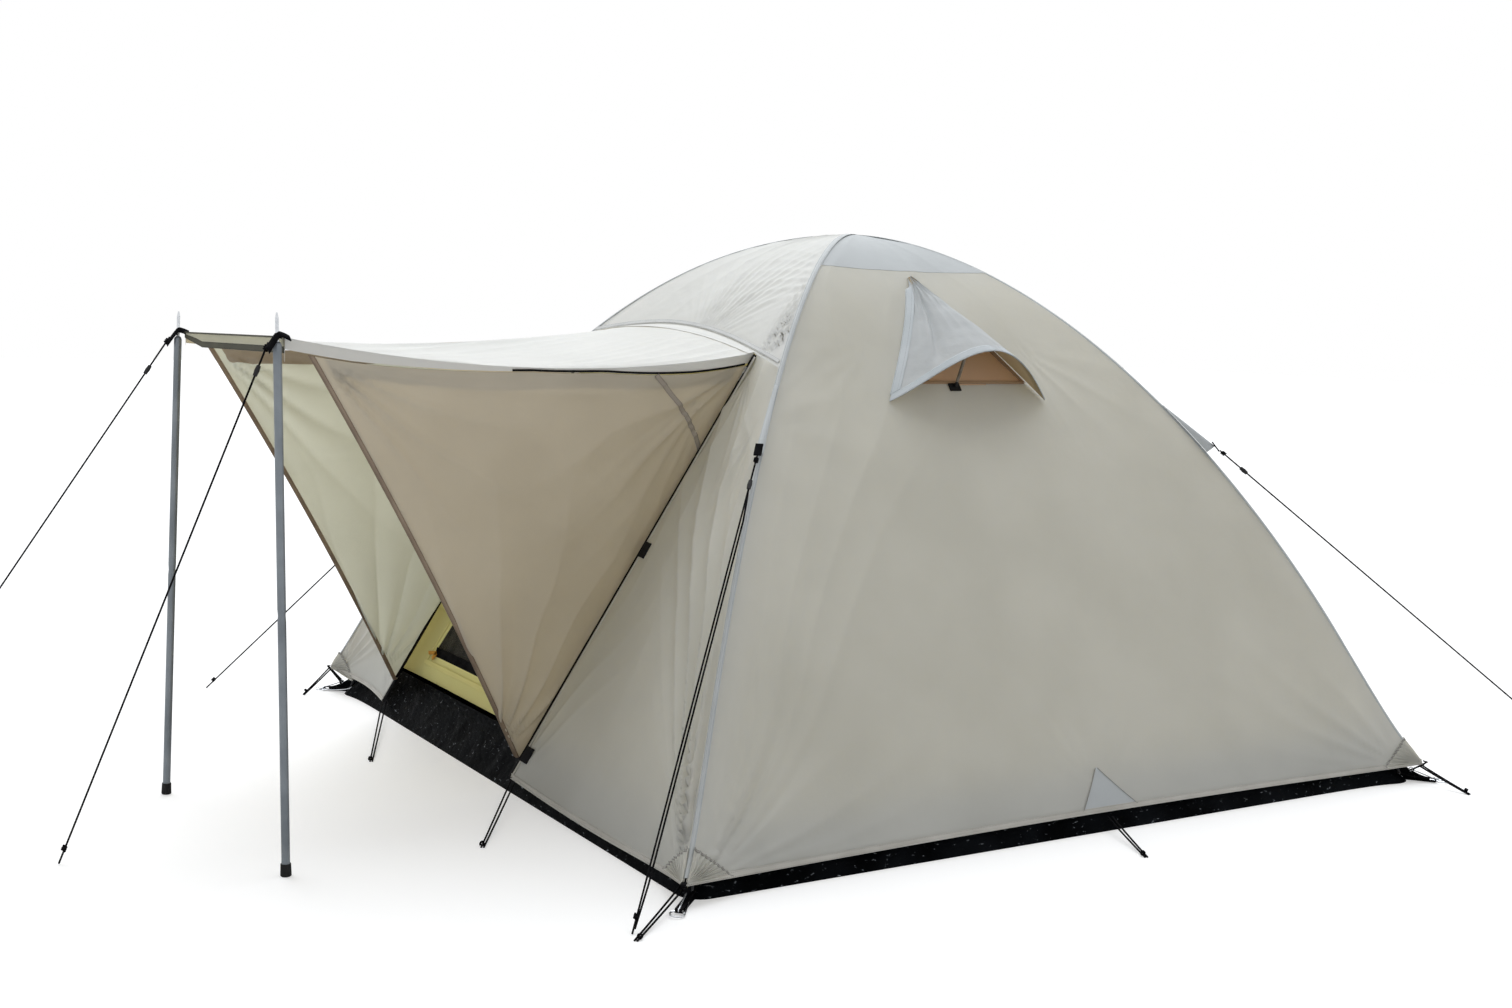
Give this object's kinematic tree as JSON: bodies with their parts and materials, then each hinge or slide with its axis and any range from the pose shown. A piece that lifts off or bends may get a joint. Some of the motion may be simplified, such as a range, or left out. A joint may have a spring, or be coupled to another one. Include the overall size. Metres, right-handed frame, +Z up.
{
  "type": "tent",
  "caption": "Square dome tent on crossed poles, with a beige flysheet, a yellow inner tent in a black tub floor, a hooded roof vent and an awning on two loose uprights",
  "frame": {"origin": "The middle of the square base, on the ground, on the underside of the tub floor.", "axes": "+Z is up. The entrance and its awning face -Y. The hooded vent is in the wall that faces +X."},
  "size_m": [2.5827, 3.8976, 1.358],
  "materials": {
    "fly_cloth": "beige woven polyester, matt",
    "awning_cloth": "beige woven polyester, matt, lit from behind",
    "inner_cloth": "yellow breathable polyester, matt",
    "mesh_cloth": "black insect mesh",
    "tub_sheet": "black laminated woven sheet, slight sheen",
    "pole_fibre": "dark glass fibre rod, smooth",
    "grey_tube": "grey coated steel tube",
    "bright_wire": "plated steel wire",
    "black_rubber": "matt black",
    "zip_tape": "black coil zip on woven tape",
    "black_plastic": "moulded black",
    "black_webbing": "black woven webbing",
    "black_cord": "black braided cord"
  },
  "bodies": {
    "tent": {"pole_near_far": "pole_fibre", "pole_left_right": "pole_fibre", "end_pin_near": "bright_wire", "end_pin_left": "bright_wire", "end_pin_right": "bright_wire", "end_pin_far": "bright_wire", "tub_floor": "tub_sheet", "inner_front": "inner_cloth", "inner_right": "inner_cloth", "inner_rear": "inner_cloth", "inner_left": "inner_cloth", "fly_right": "fly_cloth", "fly_rear": "fly_cloth", "fly_left": "fly_cloth", "fly_front_yoke": "fly_cloth", "fly_front_near": "fly_cloth", "fly_front_far": "fly_cloth", "awning_roof": "fly_cloth", "wing_near": "awning_cloth", "wing_far": "awning_cloth", "vent_hood": "fly_cloth", "ridge_flap_near": "fly_cloth", "ridge_flap_left": "fly_cloth", "ridge_flap_right": "fly_cloth", "ridge_flap_far": "fly_cloth", "zip_near": "zip_tape", "zip_far": "zip_tape", "tip_webbing_near": "black_webbing", "tip_webbing_far": "black_webbing", "guyline_near_tip": "black_cord", "guyline_far_tip": "black_cord", "guyline_near_ridge": "black_cord", "guyline_left_ridge": "black_cord", "guyline_right_ridge": "black_cord", "ground_loop_near_zip": "black_cord", "ground_loop_far_zip": "black_cord", "ground_loop_near_corner": "black_cord", "ground_loop_right_corner": "black_cord", "ground_loop_left_corner": "black_cord", "ground_loop_side": "black_cord"},
    "slider_near": {"zip_slider_near": "bright_wire"},
    "slider_far": {"zip_slider_far": "bright_wire"},
    "door_panel": {"inner_door": "inner_cloth", "inner_door_mesh": "mesh_cloth"},
    "hood_prop": {"vent_prop": "black_plastic"},
    "hook_near": {"fly_hook_near": "bright_wire"},
    "hook_left": {"fly_hook_left": "bright_wire"},
    "hook_right": {"fly_hook_right": "bright_wire"},
    "hook_far": {"fly_hook_far": "bright_wire"},
    "awning_pole_near": {"upright_near": "grey_tube", "spike_near": "grey_tube", "foot_near": "black_rubber"},
    "awning_pole_far": {"upright_far": "grey_tube", "spike_far": "grey_tube", "foot_far": "black_rubber"},
    "line_runner_near_tip": {"runner_near_tip": "black_plastic"},
    "line_runner_far_tip": {"runner_far_tip": "black_plastic"},
    "line_runner_near_ridge": {"runner_near_ridge": "black_plastic"},
    "line_runner_left_ridge": {"runner_left_ridge": "black_plastic"},
    "line_runner_right_ridge": {"runner_right_ridge": "black_plastic"}
  },
  "joints": [
    {"name": "zip_near_slide", "type": "slide", "parent": "tent", "child": "slider_near", "axis": [-0.2286, -0.423, -0.8768], "range_m": [0, 1.02]},
    {"name": "zip_far_slide", "type": "slide", "parent": "tent", "child": "slider_far", "axis": [-0.2081, -0.4371, -0.875], "range_m": [0, 1.06]},
    {"name": "inner_door_sill", "type": "hinge", "parent": "tent", "child": "door_panel", "pos_m": [-0.26, -0.93024, 0.1506], "axis": [-1, 0, 0], "range_deg": [0, 70]},
    {"name": "vent_prop_fold", "type": "hinge", "parent": "tent", "child": "hood_prop", "pos_m": [0.5894, -0.05406, 1.09191], "axis": [0, -1, 0], "range_deg": [0, 45]},
    {"name": "hook_near_swing", "type": "hinge", "parent": "tent", "child": "hook_near", "pos_m": [1.05599, -1.05599, 0.0305], "axis": [-0.7071, -0.7071, 0], "range_deg": [0, 45]},
    {"name": "hook_left_swing", "type": "hinge", "parent": "tent", "child": "hook_left", "pos_m": [-1.05577, -1.05577, 0.0305], "axis": [-0.7071, 0.7071, 0], "range_deg": [0, 45]},
    {"name": "hook_right_swing", "type": "hinge", "parent": "tent", "child": "hook_right", "pos_m": [1.05417, 1.05417, 0.0305], "axis": [0.7071, -0.7071, 0], "range_deg": [0, 45]},
    {"name": "hook_far_swing", "type": "hinge", "parent": "tent", "child": "hook_far", "pos_m": [-1.05577, 1.05577, 0.0305], "axis": [0.7071, 0.7071, 0], "range_deg": [0, 45]},
    {"name": "awning_pole_near_lean", "type": "hinge", "parent": "tent", "child": "awning_pole_near", "pos_m": [0.545, -1.703, 1.0565], "axis": [1, 0, 0], "range_deg": [-8, 8]},
    {"name": "awning_pole_far_lean", "type": "hinge", "parent": "tent", "child": "awning_pole_far", "pos_m": [-0.159, -1.727, 1.0495], "axis": [1, 0, 0], "range_deg": [-8, 8]},
    {"name": "runner_near_tip_slide", "type": "slide", "parent": "tent", "child": "line_runner_near_tip", "axis": [-0.2301, -0.3071, -0.9234], "range_m": [-0.03, 0.3]},
    {"name": "runner_far_tip_slide", "type": "slide", "parent": "tent", "child": "line_runner_far_tip", "axis": [-0.157, -0.5192, -0.8401], "range_m": [-0.05, 0.3]},
    {"name": "runner_near_ridge_slide", "type": "slide", "parent": "tent", "child": "line_runner_near_ridge", "axis": [0.4055, -0.4719, -0.7829], "range_m": [-0.04, 0.3]},
    {"name": "runner_left_ridge_slide", "type": "slide", "parent": "tent", "child": "line_runner_left_ridge", "axis": [-0.447, -0.5618, -0.6961], "range_m": [-0.04, 0.3]},
    {"name": "runner_right_ridge_slide", "type": "slide", "parent": "tent", "child": "line_runner_right_ridge", "axis": [0.4792, 0.6162, -0.625], "range_m": [-0.04, 0.3]}
  ]
}
